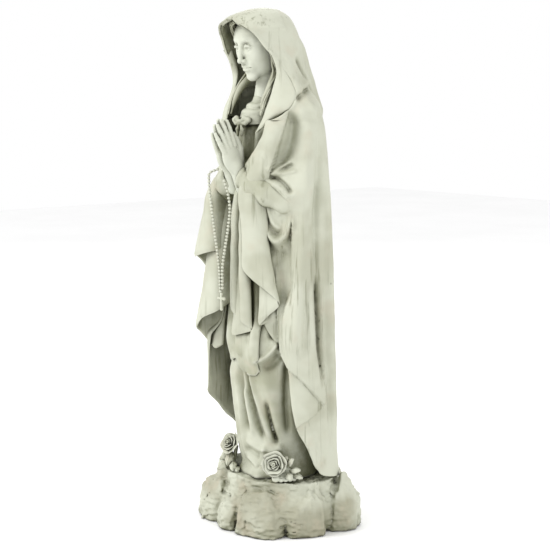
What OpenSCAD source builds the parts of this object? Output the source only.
// Garden statue of a praying woman in a veil and a long mantle, standing on a rock with roses.
// She faces -Y, her left side is +X, and the origin is the centre of the underside.

/* [Overall] */
// Height of the whole statue, from the ground to the top of the veil
statue_h = 590; // [500:5:720]
// Height of the rock that the figure stands on
rock_h = 60; // [50:1:72]
// Width of the rock, from her right to her left
rock_w = 186; // [155:1:225]
// Depth of the rock, from front to back
rock_d = 156; // [130:1:190]
// Greatest width of the mantle
mantle_w = 160; // [133:1:192]
// Greatest depth of the mantle, from front to back
mantle_d = 118; // [98:1:142]

/* [Castings] */
// Wall of the hollow mantle, veil and robe
cast_wall = 4; // [3:0.5:5]
// Wall of the hollow rock
rock_wall = 12; // [8:1:16]
// Glue gap between two castings
joint_gap = 0.5; // [0.3:0.1:0.8]
// Thickness of the plate that closes the rock from below
plate_t = 4; // [3:0.5:6]
// How far the plate stands proud of the rock's rim, so that the statue rests on it
plate_proud = 0.6; // [0.4:0.1:1]

/* [Armature] */
// Diameter of the steel rod that runs from the rock up into the chest
rod_d = 10; // [8:0.5:12]
// How far the rod reaches above the rock
rod_reach = 340; // [260:10:360]
// Diameter of the pins in the wrists
pin_d = 3; // [2:0.5:3.5]

/* [Head and hands] */
// Height of the head, from chin to crown
head_h = 78; // [64:1:84]
// Width of the head
head_w = 56; // [46:1:58]
// Diameter of the neck
neck_d = 23; // [19:1:26]
// How far the head bows forward, in degrees
head_bow = 20; // [0:1:24]
// How far the head turns to her right, in degrees
head_turn = 4; // [0:1:20]
// Length of a hand, from wrist to fingertip
hand_l = 66; // [56:1:76]
// Thickness of one hand
hand_t = 9; // [7:0.5:11]

/* [Trim] */
// Diameter of one rosary bead
bead_d = 3.6; // [3:0.1:4.5]
// Gap between two beads
bead_gap = 0.6; // [0.4:0.1:1]
// Length of the small cross
cross_l = 17; // [14:1:20]
// Diameter of a rose
rose_d = 24; // [20:1:28]
// Length of a foot
foot_l = 50; // [42:1:58]

/* [Hidden] */

// The tables below are written for this statue, and fig() stretches them to the sizes above.
table_h = 590;
table_rock = 60;
table_mantle = [160, 118];
kx = mantle_w / table_mantle[0];
ky = mantle_d / table_mantle[1];
kz = (statue_h - rock_h) / (table_h - table_rock);
function fig(p) = [p[0] * kx, p[1] * ky, rock_h + (p[2] - table_rock) * kz];
function figs(points) = [for (p = points) fig(p)];

// Column k of a table, as pairs that lookup() reads
function col(rows, k) = [for (r = rows) [r[0], r[k]]];
function at(rows, z, k) = lookup(z, col(rows, k));
function flat(rows) = [for (r = rows) for (p = r) p];
function mix(a, b, t) = a * (1 - t) + b * t;
function flip(points) = [for (p = points) [-p[0], p[1], p[2]]];

// Mantle: height, centre y, half width, half depth, front edge angle on her left and on her right
mantle_rows = [
    [60.5, 2, 82, 60, 152, 150], [66, 1, 81, 61, 118, 128], [73, 0, 80, 61, 100, 112],
    [88, 0, 79, 60, 82, 98], [103, -1, 78, 60, 70, 86], [127, -2, 77, 59, 59, 70],
    [140, -2, 77, 59, 55, 58], [192, -2, 76, 58, 47, 52], [217, -3, 76, 57, 44, 50],
    [300, -4, 76, 54, 46, 50], [363, -5, 76, 50, 52, 54], [402, -5, 75, 48, 58, 60],
    [443, -6, 72, 45, 52, 54], [466, -8, 68, 45, 48, 48]];
// Veil: height, centre y, half width, half depth, angle of the face opening's edge
veil_rows = [
    [467, -8, 68, 45, 52], [483, -10, 62, 44, 62], [500, -14, 53, 46, 70], [510, -16, 49, 47, 70],
    [523, -20, 45, 48, 66], [537, -24, 43, 48, 59], [553, -29, 41, 47, 50], [565, -31, 39, 45, 40],
    [574, -33, 36, 43, 24], [582, -34, 31, 38, 14], [587, -32, 21, 27, 8]];
veil_top = [0, -30, 590];
// Robe: height, centre x, centre y, half width, half depth
robe_rows = [
    [60.5, 3, -3, 50, 40], [110, 3, -5, 51, 42], [160, 4, -7, 54, 46], [215, 5, -8, 56, 49],
    [260, 2, -6, 55, 45], [320, 0, -8, 52, 40], [372, 0, -10, 48, 37], [410, 0, -12, 50, 36],
    [440, 0, -14, 52, 32], [456, 0, -18, 44, 26], [466, 0, -22, 29, 19]];
// The neck stands in a round socket at the top of the robe
socket_at = [0, -25, 474];
function rim(rows, a, z, cut, k = 1) = [(k > 1 ? at(rows, z, 1) : 0) + (at(rows, z, k + 1) - cut) * sin(a),
    at(rows, z, k) - (at(rows, z, k + 2) - cut) * cos(a), z];

// Upright folds, as a push in or out along the ring
mantle_fold = 1.6;
robe_fold = 1.5;
function mantle_push(a, z) = mantle_fold * cos(11 * a + z / 6) * lookup(z, [[66, 1], [380, 0.6], [440, 0]]);
function robe_push(a, z) = robe_fold * cos(17 * a) * lookup(z, [[66, 1], [300, 0.7], [400, 0]]);

// A closed sheet between two faces, each a list of rows of points
module sheet(outer, inner) {
    rows = len(outer);
    cols = len(outer[0]);
    n = rows * cols;
    function id(s, r, c) = s * n + r * cols + c;
    function quad(a, b, c, d) = [[a, b, c], [a, c, d]];
    faces = [
        for (r = [0:rows - 2]) for (c = [0:cols - 2])
            each quad(id(0, r, c), id(0, r + 1, c), id(0, r + 1, c + 1), id(0, r, c + 1)),
        for (r = [0:rows - 2]) for (c = [0:cols - 2])
            each quad(id(1, r, c), id(1, r, c + 1), id(1, r + 1, c + 1), id(1, r + 1, c)),
        for (c = [0:cols - 2]) each quad(id(0, 0, c), id(0, 0, c + 1), id(1, 0, c + 1), id(1, 0, c)),
        for (c = [0:cols - 2]) each quad(id(1, rows - 1, c), id(1, rows - 1, c + 1),
            id(0, rows - 1, c + 1), id(0, rows - 1, c)),
        for (r = [0:rows - 2]) each quad(id(1, r, 0), id(1, r + 1, 0), id(0, r + 1, 0), id(0, r, 0)),
        for (r = [0:rows - 2]) each quad(id(0, r, cols - 1), id(0, r + 1, cols - 1),
            id(1, r + 1, cols - 1), id(1, r, cols - 1))];
    polyhedron(concat(flat(outer), flat(inner)), faces);
}

// A closed solid through a stack of rings, each a list of points
module loft(rings) {
    m = len(rings);
    n = len(rings[0]);
    function id(r, c) = r * n + c % n;
    faces = [
        for (r = [0:m - 2]) for (c = [0:n - 1]) each [
            [id(r, c), id(r + 1, c), id(r + 1, c + 1)], [id(r, c), id(r + 1, c + 1), id(r, c + 1)]],
        for (c = [1:n - 2]) [id(0, 0), id(0, c), id(0, c + 1)],
        for (c = [1:n - 2]) [id(m - 1, 0), id(m - 1, c + 1), id(m - 1, c)]];
    polyhedron(flat(rings), faces);
}

// A pipe between two stacks of rings, open at both ends
module pipe(outer, inner) {
    m = len(outer);
    n = len(outer[0]);
    function id(s, r, c) = s * m * n + r * n + c % n;
    function quad(a, b, c, d) = [[a, b, c], [a, c, d]];
    faces = [
        for (r = [0:m - 2]) for (c = [0:n - 1]) each concat(
            quad(id(0, r, c), id(0, r + 1, c), id(0, r + 1, c + 1), id(0, r, c + 1)),
            quad(id(1, r, c), id(1, r, c + 1), id(1, r + 1, c + 1), id(1, r + 1, c))),
        for (c = [0:n - 1]) each concat(
            quad(id(0, 0, c), id(0, 0, c + 1), id(1, 0, c + 1), id(1, 0, c)),
            quad(id(1, m - 1, c), id(1, m - 1, c + 1), id(0, m - 1, c + 1), id(0, m - 1, c)))];
    polyhedron(concat(flat(outer), flat(inner)), faces);
}

// Round ring of n points about a place on a path, square to the direction d
function ring_at(p, d, r, n) =
    let (w = d / norm(d))
    let (u0 = abs(w[2]) > 0.9 ? cross(w, [0, 1, 0]) : cross(w, [0, 0, 1]))
    let (u = u0 / norm(u0))
    let (v = cross(w, u))
    [for (i = [0:n - 1]) p + r[0] * cos(360 * i / n) * u + r[1] * sin(360 * i / n) * v];

// A limb through the points of a path, with two half sizes at each
module limb(path, sizes, n) {
    last = len(path) - 1;
    loft([for (i = [0:last]) ring_at(path[i], path[min(i + 1, last)] - path[max(i - 1, 0)], sizes[i], n)]);
}

// A hanging cloth that falls from a top edge to a hem, pleated along its length
module drape(top, hem, pleats, depth, wall, rows) {
    cols = len(top);
    function pt(i, j, s) =
        let (t = j / (rows - 1))
        let (p = mix(top[i], hem[i], t))
        let (a = max(i - 1, 0))
        let (b = min(i + 1, cols - 1))
        let (run = mix(top[b] - top[a], hem[b] - hem[a], t))
        let (out = cross([0, 0, 1], run))
        let (side = out / norm(out))
        p - side * (depth * (0.3 + 0.7 * t) * cos(360 * pleats * i / (cols - 1)) - s * wall);
    sheet([for (j = [0:rows - 1]) [for (i = [0:cols - 1]) pt(i, j, 0)]],
        [for (j = [0:rows - 1]) [for (i = [0:cols - 1]) pt(i, j, 1)]]);
}

stone = [0.80, 0.81, 0.74];
stone_dark = [0.66, 0.67, 0.58];
stone_light = [0.88, 0.89, 0.83];
steel = [0.55, 0.56, 0.58];

/* ---- Rock ---- */
rock_centre_y = 1;
cavity_r = [0.30 * rock_w, 0.30 * rock_d];
boulders = [
    // centre x and y as shares of the half sizes, radius and height as shares of half width and height
    [-0.48, -0.46, 0.40, 0.99, 21], [0.02, -0.60, 0.33, 0.93, 2], [0.44, -0.50, 0.36, 0.99, 3],
    [0.65, -0.12, 0.31, 1.00, 14], [0.52, 0.42, 0.38, 0.98, 5], [0.02, 0.56, 0.41, 0.97, 6],
    [-0.50, 0.44, 0.39, 0.99, 17], [-0.66, -0.02, 0.33, 0.92, 8]];
boulder_sides = 11;
boulder_profile = [[0, 0.88], [0.22, 0.98], [0.55, 1.0], [0.82, 0.88], [1, 0.64]];

module boulder(b) {
    jitter = rands(0.84, 1.04, boulder_sides * len(boulder_profile), b[4]);
    r = b[2] * rock_w / 2;
    c = [b[0] * rock_w / 2, rock_centre_y + b[1] * rock_d / 2];
    hull() loft([for (k = [0:len(boulder_profile) - 1]) [for (i = [0:boulder_sides - 1])
        let (s = r * boulder_profile[k][1] * jitter[k * boulder_sides + i])
        let (a = 360 * i / boulder_sides)
        [c[0] + s * cos(a), c[1] - s * sin(a), mix(plate_proud, b[3] * rock_h, boulder_profile[k][0])]]]);
}

// An upright oval disc with flat sides, rx and ry its half sizes
module oval(rx, ry, h) {
    linear_extrude(h) polygon([for (i = [0:31]) [rx * cos(360 * i / 32), ry * sin(360 * i / 32)]]);
}

module rock_base() {
    color(stone_dark) difference() {
        union() {
            for (b = boulders) boulder(b);
            translate([0, 0, plate_proud]) oval(0.36 * rock_w, 0.36 * rock_d, rock_h - plate_proud);
        }
        translate([0, rock_centre_y, -1]) oval(cavity_r[0], cavity_r[1], rock_h - rock_wall + 1);
        translate([0, 0, rock_h / 2]) cylinder(h = rock_h, d = rod_d + 2 * joint_gap, $fn = 24);
    }
}

module base_plate() {
    color(stone_dark) translate([0, rock_centre_y, 0])
        oval(cavity_r[0] - joint_gap, cavity_r[1] - joint_gap, plate_t);
}

// The rod stands on the plate and passes through the top of the rock
module armature_rod() {
    color(steel) translate([0, 0, plate_t]) cylinder(h = rock_h + rod_reach - plate_t, d = rod_d, $fn = 32);
}

/* ---- Robe ---- */
robe_sides = 48;
robe_heights = [for (r = robe_rows) r[0]];
robe_angles = [for (i = [0:robe_sides - 1]) 360 * i / robe_sides];
function robe_point(a, z, cut) = fig(rim(robe_rows, a, z, cut - robe_push(a, z), 2));
function socket_ring(r) = [for (a = robe_angles) fig(socket_at) + r * [sin(a), -cos(a), 0]];
socket_r = neck_d / 2 + joint_gap;

module robe() {
    color(stone) pipe(
        concat([for (z = robe_heights) [for (a = robe_angles) robe_point(a, z, 0)]],
            [socket_ring(socket_r + cast_wall)]),
        concat([for (z = robe_heights) [for (a = robe_angles) robe_point(a, z, cast_wall)]],
            [socket_ring(socket_r)]));
}

// The layer over the robe's front ends in a slanting hem at knee height
layer_span = [-52, 44];
layer_top = 352;
layer_cols = 14;
function layer_hem(a) = 196 - 14 * sin(a) + 6 * cos(5 * a);

module robe_front_layer() {
    function pt(i, j, cut) =
        let (a = mix(layer_span[0], layer_span[1], i / (layer_cols - 1)))
        let (z = mix(layer_hem(a), layer_top, j / 7))
        robe_point(a, z, cut - robe_fold - joint_gap);
    color(stone) sheet([for (j = [0:7]) [for (i = [0:layer_cols - 1]) pt(i, j, -cast_wall)]],
        [for (j = [0:7]) [for (i = [0:layer_cols - 1]) pt(i, j, 0)]]);
}

/* ---- Mantle and veil ---- */
mantle_cols = 49;
mantle_heights = [60.5, 66, 73, 88, 103, 127, 150, 192, 217, 258, 300, 363, 402, 426, 443, 466];

module mantle() {
    function pt(i, z, cut) =
        let (a = mix(at(mantle_rows, z, 4), 360 - at(mantle_rows, z, 5), i / (mantle_cols - 1)))
        fig(rim(mantle_rows, a, z, cut - mantle_push(a, z)));
    color(stone) sheet([for (z = mantle_heights) [for (i = [0:mantle_cols - 1]) pt(i, z, 0)]],
        [for (z = mantle_heights) [for (i = [0:mantle_cols - 1]) pt(i, z, cast_wall)]]);
}

veil_cols = 33;
veil_heights = [for (r = veil_rows) r[0]];

module veil() {
    function pt(i, z, cut) =
        let (a = mix(at(veil_rows, z, 4), 360 - at(veil_rows, z, 4), i / (veil_cols - 1)))
        fig(rim(veil_rows, a, z, cut));
    m = len(veil_heights);
    n = m * veil_cols;
    function id(s, r, c) = s * (n + 1) + r * veil_cols + c;
    top = [id(0, m, 0), id(1, m, 0)];
    function quad(a, b, c, d) = [[a, b, c], [a, c, d]];
    last = veil_cols - 1;
    faces = [
        for (r = [0:m - 2]) for (c = [0:last - 1]) each concat(
            quad(id(0, r, c), id(0, r + 1, c), id(0, r + 1, c + 1), id(0, r, c + 1)),
            quad(id(1, r, c), id(1, r, c + 1), id(1, r + 1, c + 1), id(1, r + 1, c))),
        for (c = [0:last - 1]) each [[id(0, m - 1, c), top[0], id(0, m - 1, c + 1)],
            [id(1, m - 1, c), id(1, m - 1, c + 1), top[1]]],
        for (c = [0:last - 1]) each quad(id(0, 0, c), id(0, 0, c + 1), id(1, 0, c + 1), id(1, 0, c)),
        for (r = [0:m - 2]) each concat(
            quad(id(1, r, 0), id(1, r + 1, 0), id(0, r + 1, 0), id(0, r, 0)),
            quad(id(0, r, last), id(0, r + 1, last), id(1, r + 1, last), id(1, r, last))),
        each quad(id(1, m - 1, 0), top[1], top[0], id(0, m - 1, 0)),
        each quad(id(0, m - 1, last), top[0], top[1], id(1, m - 1, last))];
    outer = [for (z = veil_heights) [for (i = [0:last]) pt(i, z, 0)]];
    inner = [for (z = veil_heights) [for (i = [0:last]) pt(i, z, cast_wall)]];
    color(stone) polyhedron(concat(flat(outer), [fig(veil_top)], flat(inner),
        [fig(veil_top) - [0, 0, cast_wall]]), faces);
}

// Turned-back edge of the veil: its outer border and its inner border, from the cheek to the chest
lapel_out = [[47, -32, 520], [53, -34, 505], [57, -37, 488], [53, -44, 474], [42, -52, 463], [31, -58, 456]];
lapel_in = [[42, -40, 521], [39, -44, 505], [36, -49, 490], [35, -53, 477], [33, -56, 466], [29, -59, 457]];
lapel_cols = 5;

module lapel(side) {
    function pt(k, j, deep) =
        let (p = mix(lapel_out[k], lapel_in[k], j / (lapel_cols - 1)))
        let (q = fig([p[0] * side, p[1], p[2]]))
        q + deep * cast_wall * [0, 1, 0];
    rows = [for (k = [0:len(lapel_out) - 1]) side > 0 ? k : len(lapel_out) - 1 - k];
    color(stone_light) sheet([for (k = rows) [for (j = [0:lapel_cols - 1]) pt(k, j, 0)]],
        [for (k = rows) [for (j = [0:lapel_cols - 1]) pt(k, j, 1)]]);
}

module lapel_left() { lapel(1); }
module lapel_right() { lapel(-1); }

/* ---- Head ---- */
head_gap = 1;
// The crown touches the veil from below, and the chin hangs from it
chin = [0, -36 * ky, fig(veil_top)[2] - cast_wall - head_gap - head_h];
head_sides = 20;
// Height above the chin, centre y, half width and half depth, as shares of the head's height or width
head_rows = [[0, -0.10, 0.14, 0.12], [0.05, -0.07, 0.26, 0.22], [0.15, 0.03, 0.36, 0.34],
    [0.30, 0.12, 0.43, 0.50], [0.50, 0.19, 0.49, 0.62], [0.68, 0.21, 0.50, 0.64], [0.82, 0.22, 0.44, 0.56],
    [0.92, 0.22, 0.33, 0.42], [1, 0.22, 0.14, 0.18]];

module head_frame() {
    translate(chin) rotate([head_bow, 0, -head_turn]) children();
}

module head() {
    color(stone_light) head_frame() loft([for (r = head_rows) [for (i = [0:head_sides - 1])
        let (a = 360 * i / head_sides)
        [r[2] * head_w * sin(a), r[1] * head_w - r[3] * head_w * cos(a), r[0] * head_h]]]);
    color(stone_light) limb([fig(socket_at) - [0, 0, 6], fig(socket_at) + [0, 0, 4], fig([0, -27, 500]),
        chin + [0, 11, 8]], [for (i = [0:3]) [neck_d / 2, neck_d / 2]], 16);
}

// A lock of hair down one side of the face, from the parting to the collar: places as shares of the
// head's width, width and height, from the chin
hair_path = [[0.22, -0.32, 0.90], [0.40, -0.30, 0.76], [0.57, -0.20, 0.56], [0.59, -0.10, 0.28],
    [0.56, -0.02, -0.02], [0.50, 0.02, -0.30]];
hair_half = [[2.5, 4], [3, 6], [4, 7], [4.5, 7], [5, 6], [3, 4]];

module hair(side) {
    path = [for (p = hair_path) [side * p[0] * head_w, p[1] * head_w, p[2] * head_h]];
    color(stone) head_frame() limb(path, hair_half, 10);
}

module hair_left() { hair(1); }
module hair_right() { hair(-1); }

// Two rolled bands around the neck, above the socket
collar_gap = 2;
band_d = 7;

module collar() {
    color(stone) translate(fig(socket_at)) for (k = [0, 1])
        translate([0, 0, joint_gap + band_d / 2 + k * (band_d + joint_gap)])
            rotate_extrude($fn = 48) translate([neck_d / 2 + collar_gap + band_d / 2 + 2 * (1 - k), 0])
                circle(d = band_d, $fn = 24);
}

bow_at = [0, -52, 470];
// One half of the bow, from the knot out: place and radius
bow_half = [[0, 0, 3.4], [3, -0.5, 2.4], [6, -1.5, 3.2], [9, -3, 3.6], [11.5, -6, 3]];

module neck_bow() {
    color(stone_light) translate(fig(bow_at)) for (s = [-1, 1]) for (k = [0:len(bow_half) - 2]) hull()
        for (b = [bow_half[k], bow_half[k + 1]]) translate([s * b[0], 0, b[1]]) sphere(r = b[2], $fn = 12);
}

/* ---- Arms and hands ---- */
sleeve_path = [[54, -25, 380], [50, -39, 384], [34, -52, 392], [20, -60, 400], [8, -65, 406]];
sleeve_half = [[8, 15], [11, 17], [11, 16], [10, 15], [8.5, 12]];

module sleeve(side) {
    color(stone) difference() {
        limb(figs(side > 0 ? sleeve_path : flip(sleeve_path)),
            [for (h = sleeve_half) [h[0] * ky, h[1] * kz]], 14);
        wrist_pin(side, pin_d + 2 * pin_gap);
    }
}

module sleeve_left() { sleeve(1); }
module sleeve_right() { sleeve(-1); }

wrist = [0, -71, 409];
hand_lean = 28;
palm_share = 0.52;
finger_r = hand_t * 0.40;
// Across the palm: knuckle place, base share and length share, from index to little finger
fingers = [[10.5, 0.52, 0.42], [3.8, 0.54, 0.46], [-3, 0.52, 0.43], [-9.2, 0.48, 0.34]];

pin_gap = 0.1;
pin_span = [-12, 12];

module hand_frame(side) {
    translate(fig(wrist) + [side * (hand_t / 2 + joint_gap / 2), 0, 0]) rotate([hand_lean, 0, 0]) children();
}

// A pin joins each hand to its sleeve
module wrist_pin(side, d) {
    hand_frame(side) translate([0, 0, pin_span[0]]) cylinder(h = pin_span[1] - pin_span[0], d = d, $fn = 24);
}

module hand(side) {
    color(stone_light) difference() {
        hand_frame(side) hand_shape();
        wrist_pin(side, pin_d + 2 * pin_gap);
    }
}

module hand_shape() {
    hull() {
        for (y = [-7, 7]) translate([0, y, 4]) sphere(r = hand_t * 0.45, $fn = 14);
        for (y = [-10, 10]) translate([0, y, palm_share * hand_l]) sphere(r = hand_t * 0.42, $fn = 14);
    }
    for (f = fingers) {
        base = [0, f[0], f[1] * hand_l];
        middle = [0, f[0] * 0.9, (f[1] + f[2] * 0.5) * hand_l];
        tip = [0, f[0] * 0.7, (f[1] + f[2]) * hand_l];
        hull() {
            translate(base) sphere(r = finger_r, $fn = 12);
            translate(middle) sphere(r = finger_r * 0.95, $fn = 12);
        }
        hull() {
            translate(middle) sphere(r = finger_r * 0.95, $fn = 12);
            translate(tip) sphere(r = finger_r * 0.75, $fn = 12);
        }
    }
    hull() {
        translate([0, 10, 0.22 * hand_l]) sphere(r = finger_r * 1.1, $fn = 12);
        translate([0, 16, 0.5 * hand_l]) sphere(r = finger_r * 0.9, $fn = 12);
    }
}

module hand_left() { hand(1); }
module hand_right() { hand(-1); }

module wrist_pins() {
    color(steel) for (side = [-1, 1]) wrist_pin(side, pin_d);
}

/* ---- Falls of cloth in front ---- */
fall_cols = 17;
function along(a, b, bulge) = [for (i = [0:fall_cols - 1]) let (t = i / (fall_cols - 1))
    mix(a, b, t) + bulge * sin(180 * t)];

module cascade_left() {
    top = [for (p = along([19, -60, 382], [57, -44, 360], [2, -3, 0])) fig(p)];
    hem = [for (p = along([20, -64, 302], [58, -53, 258], [4, -4, -18])) fig(p)];
    color(stone) drape(top, hem, 3, 3, cast_wall, 8);
}

module cascade_middle() {
    top = [for (p = along([-13, -62, 386], [16, -62, 388], [0, -3, 0])) fig(p)];
    hem = [for (p = along([-14, -77, 268], [32, -78, 246], [0, -4, -6])) fig(p)];
    color(stone) drape(top, hem, 2, 3, cast_wall, 8);
}

module cascade_right() {
    top = [for (p = along([-60, -41, 356], [-20, -58, 380], [-2, -3, 0])) fig(p)];
    hem = [for (p = along([-68, -53, 236], [-21, -68, 228], [-4, -8, -8])) fig(p)];
    color(stone) drape(top, hem, 3, 3, cast_wall, 8);
}

/* ---- Rosary ---- */
// The loop hangs from her right hand down to the knee and back up to her left hand
rosary_right = [[-14, -86, 409], [-16, -87, 395], [-14, -87, 378], [-12, -87, 350], [-10, -86, 322],
    [-9, -85, 296], [-8, -84, 272]];
rosary_left = [[-1, -84, 394], [1, -84, 378], [1, -84, 356], [-1, -84, 326], [-3, -84, 296], [-5, -84, 280]];
bead_pitch = bead_d + bead_gap;
function lengths(path) = [for (i = 0, s = 0; i < len(path); s = s + (i < len(path) - 1 ?
    norm(path[i + 1] - path[i]) : 0), i = i + 1) s];
function on_path(path, s) = let (l = lengths(path))
    [for (k = [0:2]) lookup(s, [for (i = [0:len(path) - 1]) [l[i], path[i][k]]])];
function beads_on(path) = let (l = lengths(path)) let (n = floor(l[len(l) - 1] / bead_pitch))
    [for (i = [0:n]) on_path(path, i * bead_pitch)];
strands = [beads_on(figs(rosary_right)), beads_on(figs(rosary_left))];
string_d = 1.2;

module rosary_beads() {
    color(stone_light) for (strand = strands) for (p = strand) translate(p) sphere(d = bead_d, $fn = 24);
}

// The stretch of string that shows between two beads, from one bead's surface to the next
module rosary_string() {
    color(stone) for (strand = strands) for (i = [0:len(strand) - 2]) {
        d = strand[i + 1] - strand[i];
        dip = bead_d / 2 - 0.02;
        translate(strand[i]) rotate([0, acos(d[2] / norm(d)), atan2(d[1], d[0])]) translate([0, 0, dip])
            cylinder(h = norm(d) - 2 * dip, d = string_d, $fn = 16);
    }
}

cross_t = 2.5;
cross_w = 3;
module rosary_cross() {
    tip = strands[0][len(strands[0]) - 1];
    color(stone_light) translate(tip - [0, 0, bead_d / 2 + joint_gap + cross_l / 2]) {
        cube([cross_w, cross_t, cross_l], center = true);
        translate([0, 0, cross_l * 0.17]) cube([cross_l * 0.62, cross_t, cross_w], center = true);
    }
}

/* ---- Roses and feet ---- */
// Place on the rock, and height above it
rose_left_at = [[44, -43, 60], 21];
rose_right_at = [[-38, -44, 60], 27];
// Petal rings: share of the diameter, height share, from the outside in
petals = [[0.42, 0.30], [0.30, 0.40], [0.18, 0.48]];
petal_t = 1.5;

module rose(place, turn) {
    color(stone_light) translate(fig(place[0]) + [0, 0, place[1]]) rotate([68, 0, turn]) {
        translate([0, 0, -0.28 * rose_d])
            cylinder(h = 0.24 * rose_d, r1 = 0.14 * rose_d, r2 = 0.40 * rose_d, $fn = 32);
        for (p = petals) translate([0, 0, -0.1 * rose_d]) difference() {
            cylinder(h = p[1] * rose_d, r = p[0] * rose_d + petal_t, $fn = 32);
            translate([0, 0, 1]) cylinder(h = p[1] * rose_d, r = p[0] * rose_d, $fn = 32);
        }
        translate([0, 0, -0.1 * rose_d]) cylinder(h = 0.5 * rose_d, r = 0.08 * rose_d, $fn = 24);
    }
}

module rose_left() { rose(rose_left_at, 42); }
module rose_right() { rose(rose_right_at, -34); }

// Leaves: place, heading and length
leaves = [[[-50, -46, 66], 200, 20], [[-40, -56, 65], 250, 18], [[-20, -52, 64], 290, 16],
    [[58, -40, 65], 320, 18], [[56, -24, 65], 350, 16]];
leaf_t = 3;

module leaf(l) {
    w = 0.32 * l;
    outline = [[0, 0], [0.25 * l, w], [0.6 * l, 0.8 * w], [l, 0], [0.6 * l, -0.8 * w], [0.25 * l, -w]];
    linear_extrude(leaf_t) polygon(outline);
}

module rose_leaves() {
    color(stone_dark) for (f = leaves) translate(fig(f[0])) rotate([0, 12, f[1]]) leaf(f[2]);
}

foot_h = 15;
function foot_at(side) = [side * 36, -30, table_rock + joint_gap];
foot_w = 19;
toe_r = [4.2, 3.3, 3.1, 2.9, 2.6];

module foot(side) {
    color(stone_light) difference() {
        translate(fig(foot_at(side))) rotate([0, 0, side * 38]) foot_shape(side);
        loft([for (z = [table_rock - 2, robe_heights[1]]) [for (a = robe_angles)
            robe_point(a, max(z, robe_heights[0]), -joint_gap) + [0, 0, min(0, z - table_rock)]]]);
    }
}

module foot_shape(side) {
    union() {
        hull() {
            translate([0, 4, foot_h * 0.75]) sphere(r = foot_h * 0.6, $fn = 14);
            translate([0, -foot_l * 0.3, 5]) scale([1, 1, 0.6]) sphere(r = foot_w * 0.42, $fn = 14);
        }
        hull() for (k = [0:4]) translate([side * (2 - k) * 4.1, -foot_l * 0.38, 4]) sphere(r = 3.6, $fn = 12);
        for (k = [0:4]) {
            x = side * (k - 2) * 4.2;
            back = 0.045 * k * foot_l;
            hull() {
                translate([x, -foot_l * 0.38, 4.4]) sphere(r = toe_r[k] * 0.9, $fn = 12);
                translate([x, -foot_l * 0.52 + back, 3.8]) sphere(r = toe_r[k] * 0.9, $fn = 12);
            }
            hull() {
                translate([x, -foot_l * 0.52 + back, 3.8]) sphere(r = toe_r[k] * 0.9, $fn = 12);
                translate([x, -foot_l * 0.60 + back, 3.2]) sphere(r = toe_r[k] * 0.8, $fn = 12);
            }
        }
    }
}

module foot_left() { foot(1); }
module foot_right() { foot(-1); }

rock_base();
base_plate();
armature_rod();
robe();
robe_front_layer();
mantle();
veil();
lapel_left();
lapel_right();
head();
hair_left();
hair_right();
collar();
neck_bow();
sleeve_left();
sleeve_right();
hand_left();
hand_right();
wrist_pins();
cascade_left();
cascade_middle();
cascade_right();
rosary_beads();
rosary_string();
rosary_cross();
rose_left();
rose_right();
rose_leaves();
foot_left();
foot_right();
